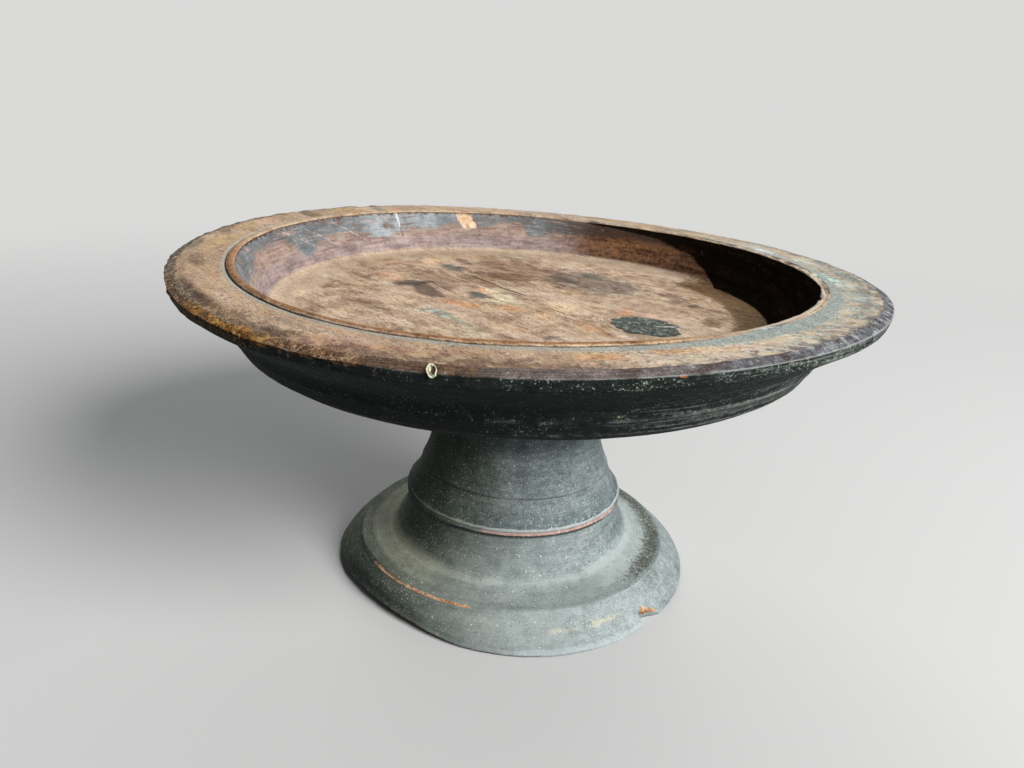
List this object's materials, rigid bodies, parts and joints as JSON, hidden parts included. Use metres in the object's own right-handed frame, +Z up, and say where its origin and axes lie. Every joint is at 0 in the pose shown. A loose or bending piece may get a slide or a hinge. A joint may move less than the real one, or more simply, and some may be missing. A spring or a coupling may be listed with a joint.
{
  "type": "pedestal dish",
  "caption": "Wide shallow turned wooden dish with a broad flange, on a waisted stem and a stepped flared foot, for serving or display.",
  "frame": {"origin": "on the floor plane, at the centre of the foot, below the turning axis", "axes": "+Z up along the turning axis, -Y towards the side that the picture was taken from, +X to that viewer's right"},
  "size_m": [0.4, 0.4, 0.1963],
  "materials": {
    "worn_dish_wood": "old worn wood, bare and dusty on top, dark below",
    "dark_knot_wood": "black crazed knot",
    "pale_pin_wood": "pale dry end grain",
    "painted_pedestal_wood": "worn dusty slate blue-grey paint on wood",
    "raw_wood": "bare dry wood"
  },
  "bodies": {
    "root": {"dish": "worn_dish_wood", "floor_knot": "dark_knot_wood", "rim_pin": "pale_pin_wood", "stem": "painted_pedestal_wood", "foot": "painted_pedestal_wood", "tenon_wedge": "raw_wood", "boss_peg_left": "raw_wood", "boss_peg_right": "raw_wood"}
  },
  "joints": []
}
